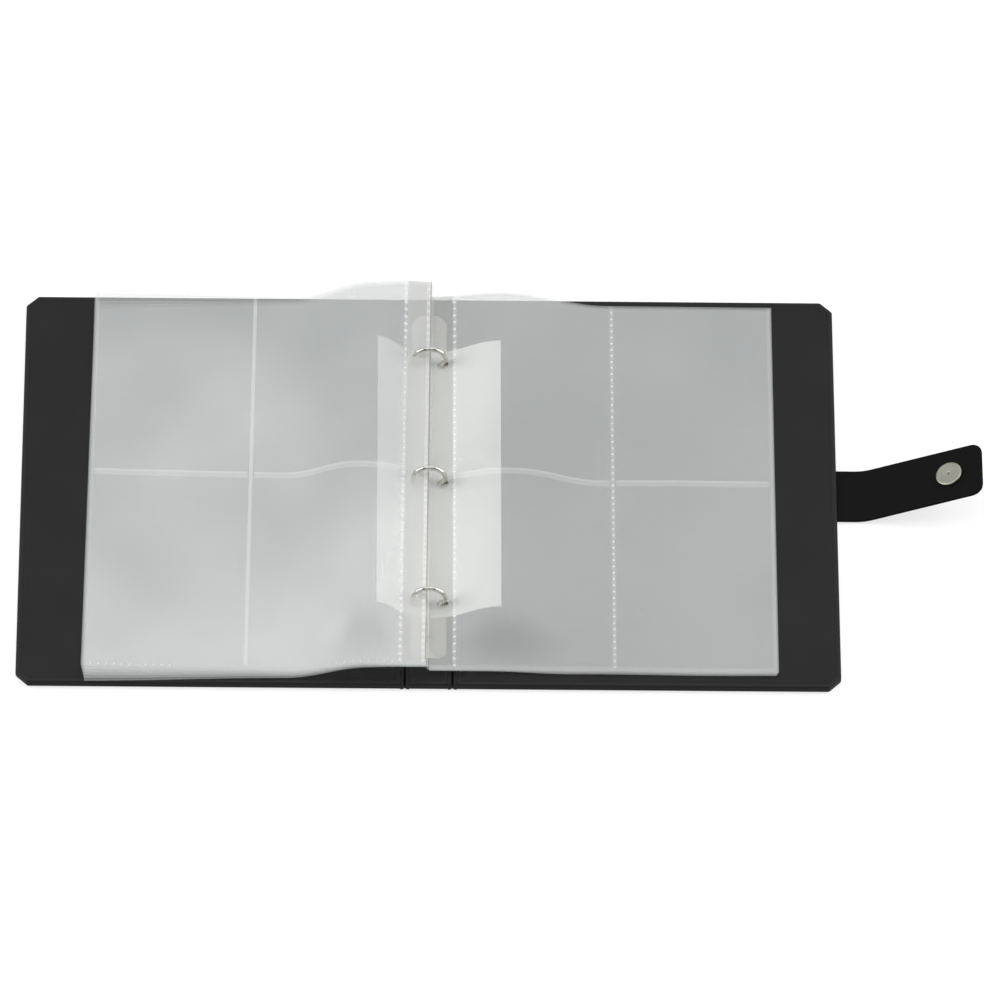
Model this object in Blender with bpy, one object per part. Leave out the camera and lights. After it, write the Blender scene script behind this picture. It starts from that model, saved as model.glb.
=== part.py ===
"""Ring photo album, lying open: padded three-panel case, three-ring metal, pocket leaves, strap.

Frame: X to the right across the open case, Y towards the far edge, Z up.
The origin is on the outer face of the spine, at its middle, so the case lies on Z = 0.
All sizes below are in millimetres and are turned into metres where meshes are made.
"""

import math

import bmesh
import bpy
from mathutils import Vector

MM = 0.001

# Case
COVER_HEIGHT = 322.0
COVER_WIDTH = 255.0
SPINE_PITCH = 31.2
PANEL_THICK = 6.0
HINGE_GAP = 3.6
CORNER_CUT = 8.0
EDGE_ROUND = 2.6
EDGE_WALL = 3.6
WRAP_THICK = 0.8
PAD_THICK = 1.6
LINER_THICK = 0.6
FIT = 0.3

# Ring metal
RING_PITCH = 100.0
WIRE_DIAMETER = 3.0
RING_SIDE_ROOM = 0.35
PLATE_WIDTH = 23.0
PLATE_END_ROOM = 18.0
PLATE_HEIGHT = 4.7
PLATE_LIP = 1.7
PLATE_THICK = 0.8
PLATE_END_CUT = 5.0
BLADE_THICK = 0.8
BLADE_END_ROOM = 24.0
BLADE_SIDE_ROOM = 1.4
RIVET_INSET = 15.0
RIVET_SHANK = 3.2
RIVET_HEAD = 6.0
RIVET_FOOT = 7.2

# Leaves and sheet lifters
LEFT_LEAVES = 6
RIGHT_LEAVES = 4
PRINT_PITCH_X = 106.0
PRINT_PITCH_Y = 154.5
LEAF_MARGIN = 16.8
LEAF_INNER = 0.8
LEAF_THICK = 0.5
LEAF_PITCH = 0.8
LEAF_SHIFT_Y = -1.0
LEAF_FAN_Y = 1.0
SEAM_SHIFT_Y = 6.0
POCKET_ROOM = 0.2
WELD_WIDTH = 2.4
SLIT_WIDTH = 1.2
SLOT_WIDTH = 9.0
SLOT_LENGTH = 18.0
SLOT_OFFSET = 10.0
ARCH_TAIL = 88.0
RIGHT_ARCH = 0.9
LIFTER_THICK = 0.7
LIFTER_END_ROOM = 2.0
LIFTER_REACH_LEFT = 36.0
LIFTER_REACH_RIGHT = 47.0

# Strap and its magnetic snap
STRAP_WIDTH = 42.0
STRAP_THICK = 2.0
STRAP_LENGTH = 102.0
STRAP_FLAT = 12.0
STRAP_BEND = 30.0
STRAP_RISE = math.radians(23.0)
STRAP_TIP_ROUND = 8.0
STRAP_FLOOR = 0.6
TONGUE_LENGTH = 26.0
TONGUE_THICK = 1.0
SNAP_AT = 79.0
SNAP_DIAMETER = 18.0
SNAP_HEIGHT = 1.6
SNAP_SHANK = 5.0
SNAP_ROOM = 0.4
DISC_SIDES = 40
WIRE_SIDES = 12
RIVET_SIDES = 20

# Places that follow from the sizes above.
HINGE_X = SPINE_PITCH / 2
HINGE_Z = PANEL_THICK / 2
RING_Z = HINGE_Z + HINGE_X
RING_RADIUS = HINGE_X - (PANEL_THICK - HINGE_Z) - WIRE_DIAMETER / 2 - RING_SIDE_ROOM
FORE_EDGE = HINGE_X + COVER_WIDTH
INNER_FACE = PANEL_THICK
PLATE_FOOT = INNER_FACE + FIT
PLATE_CROWN = PLATE_FOOT + PLATE_HEIGHT
PLATE_LENGTH = COVER_HEIGHT - 2 * PLATE_END_ROOM
RIVET_Y = PLATE_LENGTH / 2 - RIVET_INSET
BLADE_LOW = PLATE_FOOT + BLADE_THICK
BLADE_TOP = BLADE_LOW + BLADE_THICK
BLADE_OUTER = PLATE_WIDTH / 2 - PLATE_THICK - BLADE_SIDE_ROOM
BLADE_PIVOT_X = BLADE_OUTER - BLADE_THICK
BLADE_PIVOT_Z = BLADE_LOW + BLADE_THICK / 2
LIFTER_LOW = PLATE_CROWN + FIT
LIFTER_LENGTH = 2 * RING_PITCH + SLOT_LENGTH + 2 * LIFTER_END_ROOM
LEAF_LOW = INNER_FACE + FIT
LEAF_START_RISE = LIFTER_LOW + LIFTER_THICK + FIT - LEAF_LOW
LEAF_SEAM = LEAF_INNER + LEAF_MARGIN
LEAF_OUTER = LEAF_SEAM + 2 * PRINT_PITCH_X
STRAP_Z = STRAP_FLOOR + STRAP_THICK / 2
STRAP_AXIS_X = FORE_EDGE + STRAP_THICK / 2 + 2 * FIT


def material(name, colour, roughness, metallic):
    made = bpy.data.materials.new(name)
    made.use_nodes = True
    shader = made.node_tree.nodes["Principled BSDF"]
    shader.inputs["Base Color"].default_value = (*colour, 1.0)
    shader.inputs["Roughness"].default_value = roughness
    shader.inputs["Metallic"].default_value = metallic
    made.diffuse_color = (*colour, 1.0)
    return made


def mesh_of(bm, name):
    """Turn a bmesh in millimetres into a mesh in metres with its faces pointing out."""
    bmesh.ops.scale(bm, vec=(MM, MM, MM), verts=bm.verts)
    bmesh.ops.recalc_face_normals(bm, faces=bm.faces)
    mesh = bpy.data.meshes.new(name)
    bm.to_mesh(mesh)
    bm.free()
    return mesh


def add_object(name, mesh, finish, origin=(0.0, 0.0, 0.0)):
    """Link a mesh made in the world frame as an object whose origin is at the given place."""
    place = Vector(origin) * MM
    for vertex in mesh.vertices:
        vertex.co -= place
    mesh.name = name
    mesh.materials.clear()
    mesh.materials.append(finish)
    made = bpy.data.objects.new(name, mesh)
    made.location = place
    bpy.context.scene.collection.objects.link(made)
    return made


def prism(points, low, high, upright=True):
    """Extrude a closed outline: (x, y) points along Z, or (x, z) points along Y."""
    bm = bmesh.new()
    rows = []
    for level in (low, high):
        if upright:
            rows.append([bm.verts.new((a, b, level)) for a, b in points])
        else:
            rows.append([bm.verts.new((a, level, b)) for a, b in points])
    bm.faces.new(rows[0])
    bm.faces.new(rows[1])
    count = len(points)
    for i in range(count):
        j = (i + 1) % count
        bm.faces.new((rows[0][i], rows[0][j], rows[1][j], rows[1][i]))
    bmesh.ops.recalc_face_normals(bm, faces=bm.faces)
    return bm


def round_edges(bm, width, segments, least_angle=math.radians(30.0)):
    edges = [e for e in bm.edges if e.calc_face_angle(0.0) > least_angle]
    bmesh.ops.bevel(
        bm, geom=edges, offset=width, segments=segments, profile=0.5, affect="EDGES", clamp_overlap=True
    )
    return bm


def carve(mesh, cutters):
    """Subtract cutter meshes from a mesh and hand back the result as a plain mesh."""
    link = bpy.context.scene.collection.objects.link
    base = bpy.data.objects.new("carve_base", mesh)
    link(base)
    tools = []
    for cutter in cutters:
        tool = bpy.data.objects.new("carve_tool", cutter)
        link(tool)
        tools.append(tool)
        step = base.modifiers.new("carve", "BOOLEAN")
        step.operation = "DIFFERENCE"
        step.solver = "EXACT"
        step.object = tool
    graph = bpy.context.evaluated_depsgraph_get()
    result = bpy.data.meshes.new_from_object(base.evaluated_get(graph), depsgraph=graph)
    for used in [base] + tools:
        spent = used.data
        bpy.data.objects.remove(used)
        bpy.data.meshes.remove(spent)
    return result


def circle(x, y, radius, sides=DISC_SIDES):
    turn = 2 * math.pi / sides
    return [(x + radius * math.cos(i * turn), y + radius * math.sin(i * turn)) for i in range(sides)]


def stadium(x, y, width, length, sides=6):
    """Upright slot outline with round ends, wide in X and long in Y."""
    radius = width / 2
    points = []
    for end in (1, -1):
        for i in range(sides + 1):
            angle = math.pi * i / sides + (0.0 if end == 1 else math.pi)
            points.append((x + radius * math.cos(angle), y + end * (length / 2 - radius) + radius * math.sin(angle)))
    return points


def block(x0, x1, y0, y1, z0, z1):
    return mesh_of(prism([(x0, y0), (x1, y0), (x1, y1), (x0, y1)], z0, z1), "cutter")


def drum(x, y, radius, z0, z1):
    sides = DISC_SIDES if radius > RIVET_HEAD else RIVET_SIDES
    return mesh_of(prism(circle(x, y, radius, sides), z0, z1), "cutter")


def panel_outline(x0, x1, inset, cut_low, cut_high):
    """Panel plan between two X edges, with the corners at either X edge cut off or left square."""
    half = COVER_HEIGHT / 2 - inset
    a = x0 + inset
    b = x1 - inset
    slack = inset * (2 - math.sqrt(2))
    low = max(CORNER_CUT - slack, 0.1) if cut_low else 0.0
    high = max(CORNER_CUT - slack, 0.1) if cut_high else 0.0
    points = []
    points += [(a, -half + low), (a + low, -half)] if low else [(a, -half)]
    points += [(b - high, -half), (b, -half + high)] if high else [(b, -half)]
    points += [(b, half - high), (b - high, half)] if high else [(b, half)]
    points += [(a + low, half), (a, half - low)] if low else [(a, half)]
    return points


def panel(stem, x0, x1, cut_low, cut_high, origin, finishes, holes=(), wrap_cuts=(), pad_cuts=()):
    """One case panel: leatherette wrap with turned edges, foam pad, board and inner lining."""
    shell = round_edges(prism(panel_outline(x0, x1, 0.0, cut_low, cut_high), 0.0, PANEL_THICK), EDGE_ROUND, 4)
    well = mesh_of(
        prism(panel_outline(x0, x1, EDGE_WALL, cut_low, cut_high), WRAP_THICK, PANEL_THICK + 2), "cutter"
    )
    wrap = carve(mesh_of(shell, "wrap"), [well] + [make() for make in wrap_cuts])
    add_object(stem + "_wrap", wrap, finishes["wrap"], origin)
    layers = (
        ("_pad", WRAP_THICK + FIT, PAD_THICK, finishes["pad"], pad_cuts),
        (
            "_board",
            WRAP_THICK + PAD_THICK + 2 * FIT,
            PANEL_THICK - LINER_THICK - WRAP_THICK - PAD_THICK - 3 * FIT,
            finishes["board"],
            (),
        ),
        ("_lining", PANEL_THICK - LINER_THICK, LINER_THICK, finishes["lining"], ()),
    )
    for suffix, low, thick, finish, extra in layers:
        plan = panel_outline(x0, x1, EDGE_WALL + FIT, cut_low, cut_high)
        layer = mesh_of(prism(plan, low, low + thick), "layer")
        cutters = [drum(hx, hy, radius, -1.0, PANEL_THICK + 1) for hx, hy, radius in holes]
        cutters += [make() for make in extra]
        if cutters:
            layer = carve(layer, cutters)
        add_object(stem + suffix, layer, finish, origin)


def tube(sections, y):
    """Round wire in a plane of constant Y: sections are (x, z, heading, radius) with a cap at each end."""
    bm = bmesh.new()
    rows = []
    for x, z, heading, radius in sections:
        row = []
        for i in range(WIRE_SIDES):
            angle = 2 * math.pi * i / WIRE_SIDES
            across = radius * math.cos(angle)
            row.append(
                bm.verts.new((x - across * math.sin(heading), y + radius * math.sin(angle), z + across * math.cos(heading)))
            )
        rows.append(row)
    for first, second in zip(rows, rows[1:]):
        for i in range(WIRE_SIDES):
            j = (i + 1) % WIRE_SIDES
            bm.faces.new((first[i], first[j], second[j], second[i]))
    bm.faces.new(rows[0])
    bm.faces.new(rows[-1])
    return bm


def ring_half(side, y):
    """Half ring from its foot on the blade up to the joint at the top; the left tip has a tongue."""
    radius = WIRE_DIAMETER / 2
    drop = 0.67 * RING_RADIUS
    leave = math.asin(drop / RING_RADIUS)
    leave_x = RING_RADIUS * math.cos(leave)
    leave_z = RING_Z - drop
    foot_z = BLADE_TOP + FIT
    foot_x = leave_x - (leave_z - foot_z) * math.tan(leave)
    sections = [(foot_x, foot_z, math.pi / 2, radius)]
    middle_z = (foot_z + leave_z) / 2
    middle_x = (foot_x + leave_x) / 2
    sections.append((middle_x, middle_z, math.pi / 2 - leave, radius))
    steps = 16
    last = math.pi / 2 - (FIT / 2) / RING_RADIUS
    for i in range(steps + 1):
        angle = -leave + (last + leave) * i / steps
        sections.append(
            (RING_RADIUS * math.cos(angle), RING_Z + RING_RADIUS * math.sin(angle), angle + math.pi / 2, radius)
        )
    tip_x, tip_z, tip_heading, _ = sections[-1]
    if side < 0:
        sections.append((tip_x, tip_z, tip_heading, 0.55 * radius))
        sections.append((tip_x - 0.6 * radius, tip_z, tip_heading, 0.35 * radius))
    else:
        sections.append((tip_x, tip_z, tip_heading, 0.8 * radius))
        sections.append((tip_x + 0.8 * radius, tip_z, tip_heading, 0.6 * radius))
    bm = tube(sections, y)
    if side < 0:
        bmesh.ops.scale(bm, vec=(-1, 1, 1), verts=bm.verts)
    return mesh_of(bm, "ring")


def plate_height(x):
    """Outer surface of the arched ring plate."""
    half = PLATE_WIDTH / 2
    rise = PLATE_HEIGHT - PLATE_LIP
    radius = (half * half + rise * rise) / (2 * rise)
    return PLATE_CROWN - radius + math.sqrt(radius * radius - x * x)


def ring_plate():
    half = PLATE_WIDTH / 2
    steps = 14
    outer = []
    inner = []
    for i in range(steps + 1):
        share = i / steps * 2 - 1
        outer.append((half * share, plate_height(half * share)))
        inside = (half - PLATE_THICK) * share
        inner.append((inside, plate_height(inside) - PLATE_THICK))
    section = [(-half, PLATE_FOOT)] + outer + [(half, PLATE_FOOT), (half - PLATE_THICK, PLATE_FOOT)]
    section += list(reversed(inner)) + [(-half + PLATE_THICK, PLATE_FOOT)]
    end = PLATE_LENGTH / 2
    plate = mesh_of(prism(section, -end, end, upright=False), "plate")
    cutters = []
    for sx in (-1, 1):
        for sy in (-1, 1):
            tip = PLATE_END_CUT + 3
            corner = [(sx * (half + 3), sy * (end - PLATE_END_CUT)), (sx * (half + 3), sy * (end + 3))]
            corner += [(sx * (half - PLATE_END_CUT), sy * (end + 3)), (sx * (half - PLATE_END_CUT), sy * end)]
            corner += [(sx * half, sy * (end - PLATE_END_CUT))]
            cutters.append(mesh_of(prism(corner, PLATE_FOOT - 1, PLATE_CROWN + tip), "cutter"))
    reach = WIRE_DIAMETER / 2 + 0.9
    shank = RING_RADIUS * 0.62
    for y in ring_places():
        for sx in (-1, 1):
            x0, x1 = sorted((sx * (shank - 3.2), sx * (shank + 3.3)))
            cutters.append(block(x0, x1, y - reach, y + reach, PLATE_FOOT + PLATE_LIP + 0.2, PLATE_CROWN + 1))
    for sy in (-1, 1):
        cutters.append(drum(0.0, sy * RIVET_Y, RIVET_SHANK / 2 + FIT, PLATE_FOOT, PLATE_CROWN + 1))
    return carve(plate, cutters)


def ring_places():
    return (-RING_PITCH, 0.0, RING_PITCH)


def rivet(y):
    """Tubular rivet: low head on the ring plate, shank through the spine, foot flush in the wrap."""
    head_low = PLATE_CROWN + FIT
    levels = (
        (RIVET_FOOT / 2, 0.12),
        (RIVET_FOOT / 2, WRAP_THICK),
        (RIVET_SHANK / 2, WRAP_THICK),
        (RIVET_SHANK / 2, head_low),
        (RIVET_HEAD / 2, head_low),
        (RIVET_HEAD / 2, head_low + 0.3),
        (RIVET_HEAD / 3, head_low + 0.6),
    )
    return lathe(levels, 0.0, y, RIVET_SIDES)


def lathe(levels, x, y, sides):
    """Turned piece about an upright axis, from (radius, z) levels going up, capped at both ends."""
    bm = bmesh.new()
    rows = []
    for radius, z in levels:
        rows.append([bm.verts.new((px, py, z)) for px, py in circle(x, y, radius, sides)])
    for first, second in zip(rows, rows[1:]):
        for i in range(sides):
            j = (i + 1) % sides
            bm.faces.new((first[i], first[j], second[j], second[i]))
    bm.faces.new(rows[0])
    bm.faces.new(rows[-1])
    return mesh_of(bm, "turned")


def ease(share):
    return (1 - math.cos(math.pi * min(max(share, 0.0), 1.0))) / 2


def arch_peak(side):
    """Distance of the crest of the leaves from the spine line, and its height over the flat part."""
    if side < 0:
        stack = (LEFT_LEAVES - 1) * LEAF_PITCH + LEAF_THICK
        return LIFTER_REACH_LEFT + 4, max(RING_Z - 0.2 - LEAF_LOW - stack, LEAF_START_RISE)
    return LIFTER_REACH_RIGHT + 4, LEAF_START_RISE + RIGHT_ARCH


def leaf_rise(distance, side):
    """Height of a leaf above its flat outer part, at a distance from the spine line."""
    peak_at, peak = arch_peak(side)
    if distance <= peak_at:
        share = (distance - LEAF_INNER) / (peak_at - LEAF_INNER)
        return LEAF_START_RISE + (peak - LEAF_START_RISE) * ease(share)
    return peak * (1 - ease((distance - peak_at) / ARCH_TAIL))


def leaf_stations(side, start, stop):
    """Distances at which the leaf profile is sampled, the same for the leaf and for its pockets."""
    peak_at, _ = arch_peak(side)
    marks = [LEAF_INNER + (peak_at - LEAF_INNER) * i / 4 for i in range(5)]
    marks += [peak_at + ARCH_TAIL * i / 8 for i in range(1, 9)]
    inside = [m for m in marks if start + 0.01 < m < stop - 0.01]
    return [start] + inside + [stop]


def leaf_height(distance, side):
    """Sampled leaf profile, straight between the sampling marks."""
    marks = leaf_stations(side, LEAF_INNER, LEAF_OUTER)
    for a, b in zip(marks, marks[1:]):
        if distance <= b:
            share = (distance - a) / (b - a)
            return leaf_rise(a, side) + (leaf_rise(b, side) - leaf_rise(a, side)) * share
    return leaf_rise(marks[-1], side)


def arched_sheet(side, start, stop, low, thick, y0, y1):
    """Sheet that follows the leaf profile, between two distances from the spine line."""
    marks = leaf_stations(side, start, stop)
    under = [(side * m, leaf_height(m, side) + low) for m in marks]
    over = [(side * m, leaf_height(m, side) + low + thick) for m in reversed(marks)]
    return mesh_of(prism(under + over, y0, y1, upright=False), "sheet")


def leaf(side):
    """Pocket leaf: two welded films with four slip-in pockets and three slots for the rings."""
    near = LEAF_SHIFT_Y - PRINT_PITCH_Y
    far = LEAF_SHIFT_Y + PRINT_PITCH_Y
    sheet = arched_sheet(side, LEAF_INNER, LEAF_OUTER, LEAF_LOW, LEAF_THICK, near, far)
    seam = LEAF_SHIFT_Y + SEAM_SHIFT_Y
    hollow = LEAF_LOW + (LEAF_THICK - POCKET_ROOM) / 2
    edge = WELD_WIDTH / 2
    cutters = []
    for column in (0, 1):
        start = LEAF_SEAM + column * PRINT_PITCH_X + edge
        stop = start + PRINT_PITCH_X - 2 * edge
        cutters.append(arched_sheet(side, start, stop, hollow, POCKET_ROOM, seam + edge, far + 2))
        top = seam - edge
        cutters.append(arched_sheet(side, start, stop, hollow, POCKET_ROOM, near + edge, top))
        cutters.append(
            arched_sheet(side, start + 1, stop - 1, hollow + POCKET_ROOM / 2, LEAF_THICK, top - SLIT_WIDTH, top - 0.1)
        )
    for y in ring_places():
        outline = stadium(side * SLOT_OFFSET, y, SLOT_WIDTH, SLOT_LENGTH)
        cutters.append(mesh_of(prism(outline, INNER_FACE, RING_Z), "cutter"))
    return carve(sheet, cutters)


def lifter(side):
    """Stiff white sheet on the rings that props the leaves up over the ring metal."""
    reach = LIFTER_REACH_LEFT if side < 0 else LIFTER_REACH_RIGHT
    half = LIFTER_LENGTH / 2
    low = LEAF_LOW - FIT - LIFTER_THICK
    sheet = arched_sheet(side, LEAF_INNER, reach, low, LIFTER_THICK, -half, half)
    cutters = []
    for y in ring_places():
        outline = stadium(side * SLOT_OFFSET, y, SLOT_WIDTH, SLOT_LENGTH)
        cutters.append(mesh_of(prism(outline, INNER_FACE, RING_Z), "cutter"))
    cut = 4.0
    for sy in (-1, 1):
        corner = [(side * (reach + 2), sy * (half - cut - 2)), (side * (reach + 2), sy * (half + 2))]
        corner += [(side * (reach - cut - 2), sy * (half + 2))]
        cutters.append(mesh_of(prism(corner, INNER_FACE, RING_Z + 4), "cutter"))
    return carve(sheet, cutters)


def strap_point(along):
    """Middle line of the strap: (x, z, slope) at a length measured from the fore edge."""
    bend_length = STRAP_BEND * STRAP_RISE
    if along <= STRAP_FLAT:
        return FORE_EDGE + along, STRAP_Z, 0.0
    if along <= STRAP_FLAT + bend_length:
        slope = (along - STRAP_FLAT) / STRAP_BEND
        x = FORE_EDGE + STRAP_FLAT + STRAP_BEND * math.sin(slope)
        return x, STRAP_Z + STRAP_BEND * (1 - math.cos(slope)), slope
    rest = along - STRAP_FLAT - bend_length
    x = FORE_EDGE + STRAP_FLAT + STRAP_BEND * math.sin(STRAP_RISE) + rest * math.cos(STRAP_RISE)
    z = STRAP_Z + STRAP_BEND * (1 - math.cos(STRAP_RISE)) + rest * math.sin(STRAP_RISE)
    return x, z, STRAP_RISE


def strap_fold():
    """Length along the strap of its second fold, so that the closed strap lies on the front cover."""
    outer = HINGE_X + HINGE_Z
    first_x = HINGE_X + HINGE_Z - STRAP_Z
    second_x = -(outer + SNAP_ROOM + SNAP_HEIGHT + FIT + STRAP_THICK / 2)
    span = first_x - second_x
    bend_end = STRAP_FLAT + STRAP_BEND * STRAP_RISE
    x, z, _ = strap_point(bend_end)
    ax = x - STRAP_AXIS_X
    az = z - STRAP_Z
    lean = ax * math.cos(STRAP_RISE) + az * math.sin(STRAP_RISE)
    return bend_end - lean + math.sqrt(lean * lean - ax * ax - az * az + span * span)


def strap_bridge():
    """First strap link: round end on its fold axis, flat, then the bend, up to the second fold."""
    half = STRAP_THICK / 2
    start = STRAP_AXIS_X - FORE_EDGE
    stop = strap_fold() - half - 2 * FIT
    bend_length = STRAP_BEND * STRAP_RISE
    marks = [STRAP_FLAT + bend_length * i / 6 for i in range(7)]
    marks = [start] + [m for m in marks if start < m < stop] + [stop]
    upper = []
    lower = []
    for m in marks:
        x, z, slope = strap_point(m)
        upper.append((x - half * math.sin(slope), z + half * math.cos(slope)))
        lower.append((x + half * math.sin(slope), z - half * math.cos(slope)))
    nose = []
    for i in range(1, 8):
        angle = math.pi / 2 + math.pi * i / 8
        nose.append((STRAP_AXIS_X + half * math.cos(angle), STRAP_Z + half * math.sin(angle)))
    profile = nose + lower + list(reversed(upper))
    return mesh_of(prism(profile, -STRAP_WIDTH / 2, STRAP_WIDTH / 2, upright=False), "bridge")


def strap_tip():
    """Last strap link, made lying flat: round end on the fold axis, rounded corners at the tip."""
    half = STRAP_THICK / 2
    reach = STRAP_LENGTH - strap_fold()
    wide = STRAP_WIDTH / 2
    plan = [(0.0, -wide)]
    for side in (-1, 1):
        for i in range(7):
            angle = math.pi / 12 * i
            turn = angle if side < 0 else math.pi / 2 - angle
            plan.append(
                (
                    reach - STRAP_TIP_ROUND + STRAP_TIP_ROUND * math.sin(turn),
                    side * (wide - STRAP_TIP_ROUND + STRAP_TIP_ROUND * math.cos(turn)),
                )
            )
    plan.append((0.0, wide))
    bm = prism(plan, -half, half)
    bm.faces.ensure_lookup_table()
    back = [f for f in bm.faces if abs(f.normal.x + 1.0) < 1e-4]
    bmesh.ops.delete(bm, geom=back, context="FACES")
    ends = sorted((v for v in bm.verts if abs(v.co.x) < 1e-4), key=lambda v: (v.co.y, v.co.z))
    rows = []
    for low, high in ((ends[0], ends[1]), (ends[2], ends[3])):
        row = [low]
        for i in range(1, 8):
            angle = -math.pi / 2 - math.pi * i / 8
            row.append(bm.verts.new((half * math.cos(angle), low.co.y, half * math.sin(angle))))
        rows.append(row + [high])
    for i in range(8):
        bm.faces.new((rows[0][i], rows[0][i + 1], rows[1][i + 1], rows[1][i]))
    for row in rows:
        bm.faces.new(row)
    link = mesh_of(bm, "tip")
    snap = SNAP_AT - strap_fold()
    return carve(link, [drum(snap, 0.0, SNAP_SHANK / 2 + FIT, half - 1.4, half + 1)])


def snap_disc():
    """Magnetic snap on the inner face of the strap tip, made in the same lying-flat place."""
    seat = STRAP_THICK / 2 + FIT
    edge = SNAP_DIAMETER / 2
    levels = (
        (SNAP_SHANK / 2, STRAP_THICK / 2 - 1.1),
        (SNAP_SHANK / 2, seat),
        (edge - 0.3, seat),
        (edge, seat + 0.3),
        (edge, seat + SNAP_HEIGHT - 0.6),
        (edge - 0.25, seat + SNAP_HEIGHT - 0.2),
        (edge - 0.8, seat + SNAP_HEIGHT),
        (1.0, seat + SNAP_HEIGHT),
        (0.7, seat + SNAP_HEIGHT - 0.7),
    )
    return lathe(levels, SNAP_AT - strap_fold(), 0.0, DISC_SIDES)


def place_on_tip(mesh):
    """Lift a mesh made in the lying-flat place of the strap tip to the slope of the strap."""
    x, z, slope = strap_point(strap_fold())
    for vertex in mesh.vertices:
        u = vertex.co.x
        w = vertex.co.z
        vertex.co.x = x * MM + u * math.cos(slope) - w * math.sin(slope)
        vertex.co.z = z * MM + u * math.sin(slope) + w * math.cos(slope)
    return mesh


def keeper_x():
    """Place of the steel keeper: where the snap meets the front cover when the album is strapped shut."""
    return -(STRAP_AXIS_X - (SNAP_AT - strap_fold()))


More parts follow.
